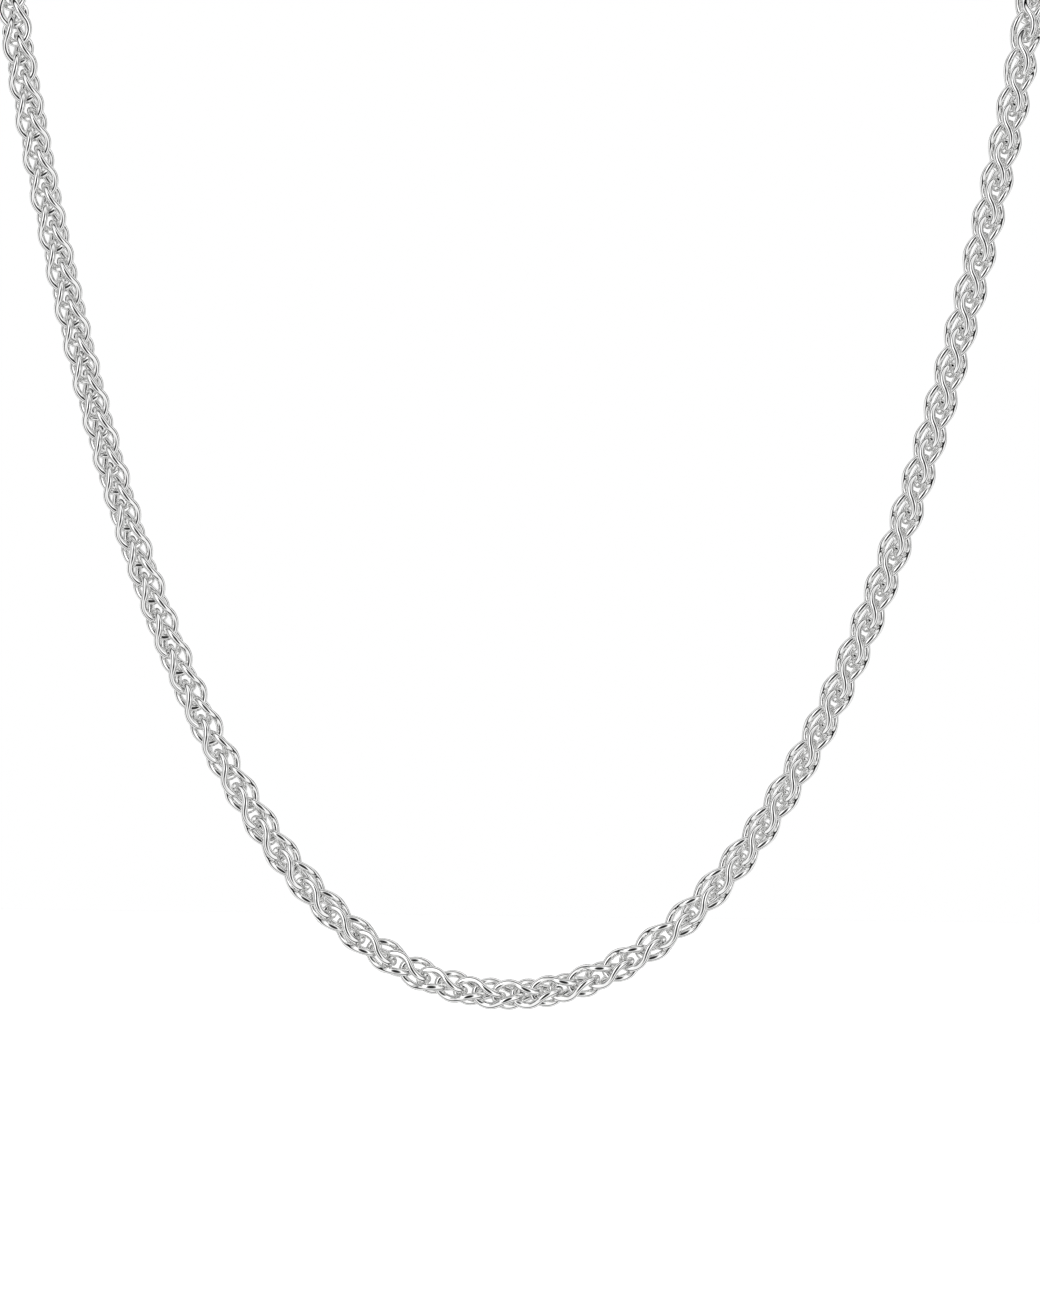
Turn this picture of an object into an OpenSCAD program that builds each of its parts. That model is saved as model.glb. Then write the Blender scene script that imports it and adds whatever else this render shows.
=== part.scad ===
// Wheat chain necklace, a whole loop that is held at the nape.
// Millimetres. Z is up, the front faces -Y and X runs to the viewer's right.
// The origin is the middle of the clasp, at the back of the neck.

/* [Links] */
// Outer width of a link
link_w = 4; // [3.8:0.1:4.4]
// Outer length of a link
link_len = 6.45; // [6.2:0.05:7]
// Thickness of the link wire
wire_d = 0.76; // [0.5:0.02:0.82]
// Radius of the end bends of a link, to the middle of the wire
end_r = 1.3; // [1.2:0.05:1.4]
// Angle between the planes of a link's two end bends
link_twist = 72; // [68:2:80]
// How far each link sits to one side of the chain's middle, left and right by turns
link_shift = 0.12; // [0:0.02:0.16]
// Gap along the chain between two ends that hold each other
link_gap = 0.24; // [0.16:0.01:0.26]

/* [Necklace] */
// Length of the stretch that hangs in front
hang_len = 268; // [250:2:290]
// Distance between the strands at the top of that stretch
hang_w = 121; // [114:1:128]
// Radius of the bend from the front over the shoulder
shoulder_r = 28; // [24:1:34]
// Width of the loop behind the shoulder bends
neck_w = 128; // [122:1:134]
// Depth of the loop behind the shoulder bends
neck_d = 73; // [64:1:84]
// Angle at which the loop rises to the nape
neck_tilt = 18; // [12:1:22]

/* [Back] */
// Thickness of the plain runs that stand for the chain behind the shoulders
run_d = 4; // [3.6:0.1:4.4]

/* [Clasp] */
// Length of the clasp over its two eyes
clasp_len = 18; // [16:0.5:22]
// Thickness of the clasp's barrel
barrel_d = 3.4; // [3:0.1:4]
// Thickness of the collars at the barrel's ends
collar_d = 4.2; // [4.1:0.1:4.8]
// Length of each collar
collar_len = 1.2; // [0.8:0.1:1.6]
// Distance of each collar from the barrel's end
collar_in = 0.5; // [0.2:0.1:0.9]
// Thickness of the short necks between the barrel and the eyes
neck_wire = 1.4; // [1.2:0.1:1.8]
// Length of each neck
neck_len = 0.9; // [0.6:0.1:1.2]
// Radius of each eye, to the middle of its wire
eye_r = 1.6; // [1.5:0.05:1.9]
// Thickness of the eyes' wire
eye_wire = 0.9; // [0.7:0.05:1]

/* [Hidden] */
// How the links are turned about the chain, as it hangs twisted in front.
// Each line has the distance from the lowest point, minus to the left, and the turn.
TURNS = [
    [-125, 6],
    [-105, 3],
    [-80, -6],
    [-55, -17],
    [-36, -38],
    [-24, -52],
    [0, -89],
    [14, -112],
    [30, -133],
    [55, -144],
    [125, -146]
];
wire_sides = 5;
run_sides = 8;
// A plain run has a ring at every fourth link
ring_step = 4;
round_fn = 48;

function unit(v) = v / norm(v);
function square_to(v, t) = unit(v - (v * t) * t);
function flip_x(v) = [-v[0], v[1], v[2]];

// One link. Z runs along the chain, and X leaves through the middle of a long side.
// The end bends lie in two planes. A long side is two bends that meet at mid length.
half_twist = link_twist / 2;
half_len = (link_len - wire_d) / 2;
side_r = (link_w - wire_d) / 2;
function side_tan(lean) = (side_r / cos(half_twist) - end_r * cos(lean)) / sin(lean);
function slope(lean) = side_r * tan(half_twist) / side_tan(lean);
function reach(lean) =
    end_r * (1 - sin(lean)) + side_tan(lean) * (cos(lean) + sqrt(max(0, 1 - pow(slope(lean), 2))));
function find_lean(lo, hi, n) =
    let(mid = (lo + hi) / 2)
    n == 0 ? mid
    : reach(mid) > half_len ? find_lean(mid, hi, n - 1)
    : find_lean(lo, mid, n - 1);
lean = find_lean(15, 70, 40);
end_dir = [cos(half_twist), -sin(half_twist), 0];
join = end_r * cos(lean) * end_dir + [0, 0, end_r * (1 - sin(lean)) - half_len];
join_dir = sin(lean) * end_dir + [0, 0, cos(lean)];
mid_dir = [0, slope(lean), sqrt(1 - pow(slope(lean), 2))];
bend = acos(join_dir * mid_dir);
bend_r = side_tan(lean) / tan(bend / 2);
bend_in = square_to(mid_dir, join_dir);

// Places along the wire, each with its heading. The first four make a quarter of the link.
function on_end(a) = [
    end_r * sin(a) * end_dir + [0, 0, end_r * (1 - cos(a)) - half_len],
    cos(a) * end_dir + [0, 0, sin(a)]
];
function on_side(a) = [
    join + bend_r * (sin(a) * join_dir + (1 - cos(a)) * bend_in),
    cos(a) * join_dir + sin(a) * bend_in
];
quarter = [on_end((90 - lean) / 3), on_side(0), on_side(bend / 2), on_side(bend)];
function far_half(s) = [[s[0][0], -s[0][1], -s[0][2]], [-s[1][0], s[1][1], s[1][2]]];
function far_side(s) = [[-s[0][0], s[0][1], -s[0][2]], [-s[1][0], s[1][1], -s[1][2]]];
long_side = concat(quarter, [for (i = [2 : -1 : 0]) far_half(quarter[i])]);
stations = concat(long_side, [for (s = long_side) far_side(s)]);
n_stations = len(stations);

// Rings of points round a path, and the skin between two rings
function ring(c, along, out, d, n) = [
    for (j = [0 : n - 1]) c + d / 2 * (cos(360 * j / n) * out + sin(360 * j / n) * cross(along, out))
];
function skin(a, b, n) = [
    for (j = [0 : n - 1])
        let(m = (j + 1) % n)
        for (f = [[a * n + j, b * n + j, b * n + m], [a * n + j, b * n + m, a * n + m]]) f
];
link_points = [
    for (s = stations)
        for (q = ring(s[0], s[1], square_to(s[0], s[1]), wire_d, wire_sides)) q
];
link_faces = [
    for (i = [0 : n_stations - 1])
        for (f = skin(i, (i + 1) % n_stations, wire_sides)) f
];

// The route of the chain is worked out for the right half, from the lowest point to the nape
function asinh(u) = ln(u + sqrt(u * u + 1));
function find_sag(lo, hi, n) =
    let(mid = (lo + hi) / 2)
    n == 0 ? mid
    : 2 * mid * asinh(hang_len / 2 / mid) > hang_w ? find_sag(lo, mid, n - 1)
    : find_sag(mid, hi, n - 1);
sag = find_sag(5, 80, 40);
hang_h = sqrt(sag * sag + hang_len * hang_len / 4) - sag;
rise = neck_d * tan(neck_tilt);
hang_top = [
    hang_w / 2,
    -neck_d - shoulder_r * (1 - sin(neck_tilt)),
    -rise - shoulder_r * cos(neck_tilt)
];
hang_dir = unit([sag, 0, hang_len / 2]);
neck_side = [neck_w / 2, -neck_d, -rise];
neck_dir = [0, cos(neck_tilt), sin(neck_tilt)];
grip = 4 / 3 * tan((90 - neck_tilt) / 4) * shoulder_r;
function hang_at(s) = [
    sag * asinh(s / sag),
    hang_top[1],
    hang_top[2] - hang_h + sqrt(sag * sag + s * s) - sag
];
function shoulder_at(t) =
    pow(1 - t, 3) * hang_top
    + 3 * pow(1 - t, 2) * t * (hang_top + grip * hang_dir)
    + 3 * (1 - t) * t * t * (neck_side - grip * neck_dir)
    + t * t * t * neck_side;
function neck_at(a) = [
    clasp_len / 2 + (neck_w - clasp_len) / 2 * cos(a),
    -neck_d * (1 - sin(a)),
    -rise * (1 - sin(a))
];
route = concat(
    [for (i = [0 : 99]) hang_at(hang_len / 2 * i / 100)],
    [for (i = [0 : 29]) shoulder_at(i / 30)],
    [for (i = [0 : 90]) neck_at(i)],
    [[0, 0, 0]]
);
last = len(route) - 1;
// Distance along the route at each of its points
far = [
    for (i = 0, d = 0; i <= last; i = i + 1, d = i > last ? 0 : d + norm(route[i] - route[i - 1])) d
];
half_loop = far[last];
function spot(d, i) =
    i == last - 1 || far[i + 1] > d
    ? route[i] + (d - far[i]) / (far[i + 1] - far[i]) * (route[i + 1] - route[i])
    : spot(d, i + 1);
function place(d) = d < 0 ? flip_x(spot(-d, 0)) : spot(d, 0);

// The links stand at an even pitch from one eye of the clasp to the other
max_pitch = (link_len - 2 * wire_d - link_gap) / 2;
last_link = half_loop - clasp_len / 2 + eye_wire + link_gap + wire_d / 2 - half_len;
n_links = 2 * ceil(last_link / max_pitch + 0.5);
pitch = 2 * last_link / (n_links - 1);
function dist(k) = (k - (n_links - 1) / 2) * pitch;
function heading(d) = unit(place(min(d + pitch, half_loop)) - place(max(d - pitch, -half_loop)));
// The side that faces the viewer in front is carried along the chain without turning
mid = n_links / 2;
right_faces = [
    for (k = mid, v = square_to([0, -1, 0], heading(dist(mid)));
        k < n_links;
        k = k + 1, v = square_to(v, heading(dist(k))))
        v
];
function face(k) = k >= mid ? right_faces[k - mid] : flip_x(right_faces[mid - 1 - k]);
function link_x(k) =
    let(a = lookup(dist(k), TURNS), v = face(k), u = cross(v, heading(dist(k))))
    cos(a) * v - sin(a) * u;
front_to = floor(mid - 0.5 + (hang_len / 2 - 6) / pitch);
front_from = n_links - 1 - front_to;

// Every other link is the mirror image of its neighbours, and is shifted to the other side
module link(k) {
    t = heading(dist(k));
    x = link_x(k);
    y = cross(t, x);
    p = place(dist(k));
    multmatrix([
        [x[0], y[0], t[0], p[0]],
        [x[1], y[1], t[1], p[1]],
        [x[2], y[2], t[2], p[2]],
        [0, 0, 0, 1]
    ])
        mirror([0, 1 - k % 2, 0])
        translate([0, link_shift, 0])
        rotate([0, 0, 45])
        polyhedron(points = link_points, faces = link_faces, convexity = 6);
}

module front_left_chain() {
    color("silver")
        for (k = [front_from : mid - 1])
            link(k);
}

module front_right_chain() {
    color("silver")
        for (k = [mid : front_to])
            link(k);
}

// A plain run from the last front link to the clasp's eye
run_from = dist(front_to) + link_len / 2 + link_gap;
run_to = half_loop - clasp_len / 2 - link_gap;
run_stations = concat(
    [[run_from, front_to + 1]],
    [for (k = [front_to + ring_step : ring_step : n_links - 2]) [dist(k), k]],
    [[run_to, n_links - 1]]
);
run_points = [
    for (s = run_stations)
        for (q = ring(place(s[0]), heading(dist(s[1])), face(s[1]), run_d, run_sides)) q
];
run_rings = len(run_stations);
run_faces = concat(
    [for (j = [1 : run_sides - 2]) [0, j, j + 1]],
    [for (i = [0 : run_rings - 2]) for (f = skin(i, i + 1, run_sides)) f],
    [for (j = [1 : run_sides - 2]) (run_rings - 1) * run_sides * [1, 1, 1] + [0, j + 1, j]]
);

module plain_run() {
    color("silver")
        polyhedron(points = run_points, faces = run_faces, convexity = 8);
}

module back_left_chain() {
    mirror([1, 0, 0])
        plain_run();
}

module back_right_chain() {
    plain_run();
}

// Each eye stands across the end bend of the link that it holds
module eye(k, side) {
    x = link_x(k);
    y = cross(heading(dist(k)), x);
    a = side * (k % 2 == 0 ? -1 : 1) * half_twist + 45;
    across = cos(a) * x + (k % 2 == 0 ? -1 : 1) * sin(a) * y;
    translate([side * (clasp_len / 2 - eye_r - eye_wire / 2), 0, 0])
        rotate([-atan2(across[1], across[2]), 0, 0])
        rotate_extrude($fn = round_fn)
        translate([eye_r, 0])
        circle(d = eye_wire, $fn = round_fn);
}

eye_root = clasp_len / 2 - eye_wire / 2 - 2 * eye_r;
barrel_half = eye_root - neck_len;

module clasp() {
    color("silver") {
        rotate([0, 90, 0])
            cylinder(h = 2 * barrel_half, d = barrel_d, center = true, $fn = round_fn);
        for (side = [-1, 1]) {
            translate([side * (barrel_half - collar_in - collar_len / 2), 0, 0])
                rotate([0, 90, 0])
                cylinder(h = collar_len, d = collar_d, center = true, $fn = round_fn);
            rotate([0, side * 90, 0])
                cylinder(h = eye_root, d = neck_wire, $fn = round_fn);
            eye(side > 0 ? n_links - 1 : 0, side);
        }
    }
}

front_left_chain();
front_right_chain();
back_left_chain();
back_right_chain();
clasp();
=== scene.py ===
"""Wheat chain necklace: links of polished silver wire along the CAD route, in metres."""

import math

import bpy
from mathutils import Matrix, Vector


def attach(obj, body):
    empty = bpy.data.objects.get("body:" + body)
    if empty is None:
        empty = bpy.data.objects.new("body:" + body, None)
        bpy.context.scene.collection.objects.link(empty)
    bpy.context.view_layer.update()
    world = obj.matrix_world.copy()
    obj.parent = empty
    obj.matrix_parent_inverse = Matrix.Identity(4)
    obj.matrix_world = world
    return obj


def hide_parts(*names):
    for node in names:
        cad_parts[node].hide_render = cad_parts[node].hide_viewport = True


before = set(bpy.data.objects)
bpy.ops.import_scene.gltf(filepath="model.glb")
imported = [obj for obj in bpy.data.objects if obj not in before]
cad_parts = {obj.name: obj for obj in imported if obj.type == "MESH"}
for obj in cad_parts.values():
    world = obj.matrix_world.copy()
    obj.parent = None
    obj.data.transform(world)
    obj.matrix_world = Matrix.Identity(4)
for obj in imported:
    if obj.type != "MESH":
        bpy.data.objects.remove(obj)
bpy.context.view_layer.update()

MM = 0.001

# The links at their full gauge and the loop as in the CAD source, in millimetres
LINK_W = 4.04
LINK_LEN = 6.58
WIRE_D = 0.86
END_R = 1.25
HALF_TWIST = math.radians(35)
LINK_SHIFT = 0.1
LINK_GAP = 0.16
HANG_LEN, HANG_W = 268.0, 121.0
SHOULDER_R, NECK_W, NECK_D = 28.0, 128.0, 73.0
NECK_TILT = math.radians(18)
CLASP_LEN, EYE_WIRE = 18.0, 0.9

# Turn of the links about the chain: distance from the lowest point, and degrees.
# The first line brings the left end link across its eye of the clasp.
TURNS = [
    (-272, -65), (-130, 6), (-125, 6), (-105, 3), (-80, -6), (-55, -17), (-36, -38), (-24, -52),
    (0, -89), (14, -112), (30, -133), (55, -144), (125, -146),
]

# Faces of a link: sides of its wire, and steps in each end bend and each half of a long side
WIRE_SIDES, END_STEPS, SIDE_STEPS = 16, 14, 8


def between(x, pairs):
    """Value at x on the line through the pairs, level past its ends."""
    if x <= pairs[0][0]:
        return pairs[0][1]
    for (x0, y0), (x1, y1) in zip(pairs, pairs[1:]):
        if x <= x1:
            return y0 + (y1 - y0) * (x - x0) / (x1 - x0)
    return pairs[-1][1]


def halve(low, high, too_big):
    """The value between low and high at which too_big turns true."""
    for _ in range(60):
        mid = (low + high) / 2
        if too_big(mid):
            high = mid
        else:
            low = mid
    return (low + high) / 2


# The shape of one link

half_len = (LINK_LEN - WIRE_D) / 2
side_r = (LINK_W - WIRE_D) / 2


def side_tangent(lean):
    """From the start of a long side's bend to the corner that it rounds off."""
    return (side_r / math.cos(HALF_TWIST) - END_R * math.cos(lean)) / math.sin(lean)


def slope(lean):
    """How far a long side leans sideways at its middle."""
    return side_r * math.tan(HALF_TWIST) / side_tangent(lean)


def reach(lean):
    """Half the length of the link, between the middles of its wire."""
    level = math.sqrt(max(0.0, 1 - slope(lean) ** 2))
    return END_R * (1 - math.sin(lean)) + side_tangent(lean) * (math.cos(lean) + level)


lean = halve(math.radians(15), math.radians(70), lambda a: reach(a) < half_len)
end_dir = Vector((math.cos(HALF_TWIST), -math.sin(HALF_TWIST), 0))
up = Vector((0, 0, 1))
join = end_dir * END_R * math.cos(lean) + up * (END_R * (1 - math.sin(lean)) - half_len)
join_dir = end_dir * math.sin(lean) + up * math.cos(lean)
mid_dir = Vector((0, slope(lean), math.sqrt(1 - slope(lean) ** 2)))
side_bend = join_dir.angle(mid_dir)
side_bend_r = side_tangent(lean) / math.tan(side_bend / 2)
side_in = (mid_dir - join_dir * mid_dir.dot(join_dir)).normalized()
side_centre = join + side_in * side_bend_r
end_centre = up * (half_len - END_R)
end_bend = 2 * (math.pi / 2 - lean)


def to_far_half(v):
    """The same place on the link turned over end to end."""
    return Vector((v.x, -v.y, -v.z))


def to_far_side(v):
    """The same place on the link's other long side."""
    return Vector((-v.x, -v.y, v.z))


def bent_wire_link(name):
    """A closed link of round wire in millimetres: a ring of the wire spun round six bends."""
    at, along = Vector((side_r, 0, 0)), mid_dir.copy()
    bpy.ops.object.select_all(action="DESELECT")
    bpy.ops.mesh.primitive_circle_add(
        vertices=WIRE_SIDES,
        radius=WIRE_D / 2,
        location=at,
        rotation=along.to_track_quat("Z", "Y").to_euler(),
    )
    link = bpy.context.object
    link.name = name
    bpy.ops.object.transform_apply(location=True, rotation=True, scale=True)
    bpy.ops.object.mode_set(mode="EDIT")
    bpy.ops.mesh.select_all(action="SELECT")
    bends = [
        (to_far_half(side_centre), side_bend, SIDE_STEPS),
        (end_centre, end_bend, END_STEPS),
        (to_far_side(to_far_half(side_centre)), side_bend, SIDE_STEPS),
        (to_far_side(side_centre), side_bend, SIDE_STEPS),
        (-end_centre, end_bend, END_STEPS),
        (side_centre, side_bend * (SIDE_STEPS - 1) / SIDE_STEPS, SIDE_STEPS - 1),
    ]
    for centre, angle, steps in bends:
        axis = along.cross(centre - at).normalized()
        bpy.ops.mesh.spin(steps=steps, angle=-angle, center=centre, axis=axis)
        turn = Matrix.Rotation(angle, 3, axis)
        at, along = centre + turn @ (at - centre), turn @ along
    bpy.ops.mesh.select_all(action="DESELECT")
    bpy.ops.mesh.select_mode(type="EDGE")
    bpy.ops.mesh.select_non_manifold()
    bpy.ops.mesh.bridge_edge_loops()
    bpy.ops.mesh.select_all(action="SELECT")
    bpy.ops.mesh.normals_make_consistent(inside=False)
    bpy.ops.object.mode_set(mode="OBJECT")
    bpy.ops.object.shade_smooth()
    return link


# The route of the chain, from the lowest point up the right side to the nape

sag = halve(5, 80, lambda a: 2 * a * math.asinh(HANG_LEN / 2 / a) > HANG_W)
hang_h = math.hypot(sag, HANG_LEN / 2) - sag
rise = NECK_D * math.tan(NECK_TILT)
hang_top = Vector((
    HANG_W / 2,
    -NECK_D - SHOULDER_R * (1 - math.sin(NECK_TILT)),
    -rise - SHOULDER_R * math.cos(NECK_TILT),
))
hang_dir = Vector((sag, 0, HANG_LEN / 2)).normalized()
neck_side = Vector((NECK_W / 2, -NECK_D, -rise))
neck_dir = Vector((0, math.cos(NECK_TILT), math.sin(NECK_TILT)))
grip = 4 / 3 * math.tan((math.pi / 2 - NECK_TILT) / 4) * SHOULDER_R


def hang_at(s):
    """Point of the hanging front at a length s from the lowest point."""
    return Vector((
        sag * math.asinh(s / sag),
        hang_top.y,
        hang_top.z - hang_h + math.hypot(sag, s) - sag,
    ))


def shoulder_at(t):
    """Point of the bend over the shoulder, t from zero in front to one behind."""
    return (
        hang_top * (1 - t) ** 3
        + (hang_top + hang_dir * grip) * 3 * (1 - t) ** 2 * t
        + (neck_side - neck_dir * grip) * 3 * (1 - t) * t ** 2
        + neck_side * t ** 3
    )


def neck_at(degrees):
    """Point of the way round the back, from zero at the side to 90 at the clasp."""
    a = math.radians(degrees)
    return Vector((
        CLASP_LEN / 2 + (NECK_W - CLASP_LEN) / 2 * math.cos(a),
        -NECK_D * (1 - math.sin(a)),
        -rise * (1 - math.sin(a)),
    ))


route = [hang_at(HANG_LEN / 2 * i / 100) for i in range(100)]
route += [shoulder_at(i / 30) for i in range(30)]
route += [neck_at(i) for i in range(91)]
route.append(Vector((0, 0, 0)))
far = [0.0]
for here, before in zip(route[1:], route):
    far.append(far[-1] + (here - before).length)
half_loop = far[-1]


def place(d):
    """Point at a distance from the lowest point, minus to the left."""
    s, i = abs(d), 0
    while i < len(route) - 2 and far[i + 1] <= s:
        i += 1
    p = route[i].lerp(route[i + 1], (s - far[i]) / (far[i + 1] - far[i]))
    return Vector((-p.x, p.y, p.z)) if d < 0 else p


max_pitch = (LINK_LEN - 2 * WIRE_D - LINK_GAP) / 2
last_link = half_loop - CLASP_LEN / 2 + EYE_WIRE + LINK_GAP + WIRE_D / 2 - half_len
n_links = 2 * math.ceil(last_link / max_pitch + 0.5)
pitch = 2 * last_link / (n_links - 1)
mid = n_links // 2
front_to = math.floor(mid - 0.5 + (HANG_LEN / 2 - 6) / pitch)


def dist(k):
    """Distance of link k from the lowest point, minus to the left."""
    return (k - (n_links - 1) / 2) * pitch


def heading(d):
    """The way the chain runs at a distance from the lowest point."""
    ahead, behind = min(d + pitch, half_loop), max(d - pitch, -half_loop)
    return (place(ahead) - place(behind)).normalized()


right_faces = []
carried = Vector((0, -1, 0))
for k in range(mid, n_links):
    t = heading(dist(k))
    carried = (carried - t * carried.dot(t)).normalized()
    right_faces.append(carried)


def face(k):
    """The side of the chain that looks at the viewer in front, carried on round the loop."""
    if k >= mid:
        return right_faces[k - mid]
    v = right_faces[mid - 1 - k]
    return Vector((-v.x, v.y, v.z))


def link_matrix(k):
    """Where link k stands on the route, turned about the chain as TURNS says, in metres."""
    t = heading(dist(k))
    v = face(k)
    u = v.cross(t)
    a = math.radians(between(dist(k), TURNS))
    x = v * math.cos(a) - u * math.sin(a)
    y = t.cross(x)
    p = place(dist(k))
    m = Matrix((
        (x.x, y.x, t.x, p.x),
        (x.y, y.y, t.y, p.y),
        (x.z, y.z, t.z, p.z),
        (0, 0, 0, 1),
    ))
    return Matrix.Scale(MM, 4) @ m


# The links: one of each hand, then copies of them along the route

right_hand = bent_wire_link("link_right_hand")
right_hand.data.transform(
    Matrix.Translation((0, LINK_SHIFT, 0)) @ Matrix.Rotation(math.radians(45), 4, "Z")
)
left_hand = right_hand.copy()
left_hand.data = right_hand.data.copy()
left_hand.data.transform(Matrix.Diagonal((1, -1, 1, 1)))
left_hand.data.flip_normals()


def run_of_links(name, first, last, node):
    """Copies the two hands of link by turns along the route and joins them into one piece."""
    copies = []
    for k in range(first, last + 1):
        hand = right_hand if k % 2 else left_hand
        copy = hand.copy()
        copy.data = hand.data.copy()
        copy.data.transform(link_matrix(k))
        bpy.context.collection.objects.link(copy)
        copies.append(copy)
    bpy.ops.object.select_all(action="DESELECT")
    for copy in copies:
        copy.select_set(True)
    bpy.context.view_layer.objects.active = copies[0]
    bpy.ops.object.join()
    piece = bpy.context.object
    piece.name = piece.data.name = name
    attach(piece, "root")
    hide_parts(node)
    return piece


front_left = run_of_links("front_left_links", n_links - 1 - front_to, mid - 1, "front_left_chain")
front_right = run_of_links("front_right_links", mid, front_to, "front_right_chain")
back_left = run_of_links("back_left_links", 0, n_links - 2 - front_to, "back_left_chain")
back_right = run_of_links("back_right_links", front_to + 1, n_links - 1, "back_right_chain")
bpy.data.objects.remove(right_hand)


# Finishes


class Sock:
    """A value in a shader, with the signs of arithmetic adding its Math nodes."""

    def __init__(self, finish, out):
        self.finish, self.out = finish, out

    def math(self, operation, other):
        return self.finish.node("ShaderNodeMath", self, other, settings={"operation": operation})

    def __add__(self, other):
        return self.math("ADD", other)

    __radd__ = __add__

    def __mul__(self, other):
        return self.math("MULTIPLY", other)

    __rmul__ = __mul__

    def __sub__(self, other):
        return self.math("SUBTRACT", other)

    def __rsub__(self, other):
        return (self * -1) + other


class Finish:
    """Builds one node tree, with one method for every kind of node."""

    def __init__(self, tree):
        self.tree = tree
        tree.nodes.clear()

    def node(self, kind, *in_order, settings=None, out=0, **by_name):
        """Adds a node, feeds its inputs in their order or by their names, and gives an output."""
        made = self.tree.nodes.new(kind)
        for key, value in (settings or {}).items():
            setattr(made, key, value)
        fed = list(zip(made.inputs, in_order))
        fed += [(made.inputs[name.replace("_", " ")], value) for name, value in by_name.items()]
        for socket, value in fed:
            if isinstance(value, Sock):
                self.tree.links.new(value.out, socket)
            else:
                socket.default_value = value
        return Sock(self, made.outputs[out]) if made.outputs else None


def polished_silver(name):
    """Bright polished sterling silver, with the faint uneven sheen of drawn wire."""
    material = bpy.data.materials.new(name)
    material.use_nodes = True
    finish = Finish(material.node_tree)
    where = finish.node("ShaderNodeTexCoord", out="Object")
    grain = finish.node(
        "ShaderNodeTexNoise", out="Fac", Vector=where, Scale=900.0, Detail=2.0, Roughness=0.5
    )
    shader = finish.node(
        "ShaderNodeBsdfPrincipled",
        Base_Color=(0.93, 0.93, 0.925, 1),
        Metallic=1.0,
        Roughness=grain * 0.05 + 0.02,
    )
    finish.node("ShaderNodeOutputMaterial", Surface=shader)
    return material


silver = polished_silver("polished_silver")
for piece in (front_left, front_right, back_left, back_right):
    piece.data.materials.clear()
    piece.data.materials.append(silver)
for slot in bpy.data.objects["clasp"].material_slots:
    slot.material = silver

# Floor of white paper

FLOOR_Z = -0.3
bpy.ops.object.select_all(action="DESELECT")
bpy.ops.mesh.primitive_plane_add(size=8, location=(0, 0, FLOOR_Z))
floor = bpy.context.object
floor.name = "floor"
paper = bpy.data.materials.new("white_paper")
paper.use_nodes = True
finish = Finish(paper.node_tree)
shader = finish.node("ShaderNodeBsdfPrincipled", Base_Color=(0.95, 0.95, 0.95, 1), Roughness=0.9)
finish.node("ShaderNodeOutputMaterial", Surface=shader)
floor.data.materials.append(paper)
floor.visible_glossy = False

# Light tent: plain white to the camera, and panels of light and shade for the silver to mirror

world = bpy.data.worlds.new("light_tent")
bpy.context.scene.world = world
world.use_nodes = True
sky = Finish(world.node_tree)
look = sky.node("ShaderNodeTexCoord", out="Generated")


def soft_step(value, zero_at, one_at):
    """Zero at one value and one at the other, with a soft change between them."""
    return sky.node(
        "ShaderNodeMapRange",
        settings={"interpolation_type": "SMOOTHSTEP"},
        Value=value,
        From_Min=zero_at,
        From_Max=one_at,
        To_Min=0.0,
        To_Max=1.0,
    )


def vector_math(operation, *values, out=0):
    return sky.node("ShaderNodeVectorMath", *values, settings={"operation": operation}, out=out)


def patch(x, y, z, spread, edge):
    """A round patch of the tent: one inside spread degrees of its middle, and zero past edge."""
    middle = Vector((x, y, z)).normalized()
    facing = vector_math("DOT_PRODUCT", look, middle, out="Value")
    return soft_step(facing, math.cos(math.radians(edge)), math.cos(math.radians(spread)))


def upright_slot(width, height):
    """An upright oval in front and behind: one in its middle, zero at its half width and height."""
    stretch = (1 / math.sin(math.radians(width)), 0, 1 / math.sin(math.radians(height)))
    away = vector_math("LENGTH", vector_math("MULTIPLY", look, stretch), out="Value")
    return soft_step(away, 1.0, 0.6)


# Walls, a dark ring round the front panel, and the front panel
tent = 1.08 - patch(0, -1, 0, 88, 102) * 1.08 + patch(0, -1, 0, 63, 78) * 1.0
# Brighter panels at the upper left and at the right
tent = tent + patch(-0.6, -1, 0.35, 14, 26) * 0.9 + patch(0.75, -1, 0.1, 8, 18) * 0.6
# The wall behind the necklace, less bright
tent = tent - patch(0, 1, 0, 48, 64) * 0.33
# Four dark flags at the corners
for x, y in ((-1, -0.8), (1, -0.8), (-1, 1), (1, 1)):
    tent = tent - patch(x, y, 0.35, 7, 19) * 0.55
# Dark upright openings in front and behind
tent = tent * (1 - upright_slot(33, 66) * 0.97)

to_camera = sky.node("ShaderNodeLightPath", out="Is Camera Ray")
to_paper = sky.node("ShaderNodeLightPath", out="Is Diffuse Ray")
to_silver = (1 - to_camera) * (1 - to_paper)
light = to_camera + to_paper * 1.3 + to_silver * tent
shader = sky.node("ShaderNodeBackground", Strength=light, Color=(1, 1, 1, 1))
sky.node("ShaderNodeOutputWorld", Surface=shader)

# Camera square to the hanging front, on the photo's scale and with its slight roll

CAMERA_OFF = 0.9
FRAME_H = 1300 / 8.2 * MM
ROLL = 0.0134
camera = bpy.data.objects.new("camera", bpy.data.cameras.new("camera"))
bpy.context.collection.objects.link(camera)
camera.location = (0.00089, hang_top.y * MM - CAMERA_OFF, -0.11908)
camera.rotation_euler = (math.pi / 2, -ROLL, 0)
camera.data.lens = 36 / 2 / (FRAME_H / 2 / CAMERA_OFF)
camera.data.clip_start, camera.data.clip_end = 0.01, 50
bpy.context.scene.camera = camera
bpy.context.scene.view_settings.view_transform = "Standard"
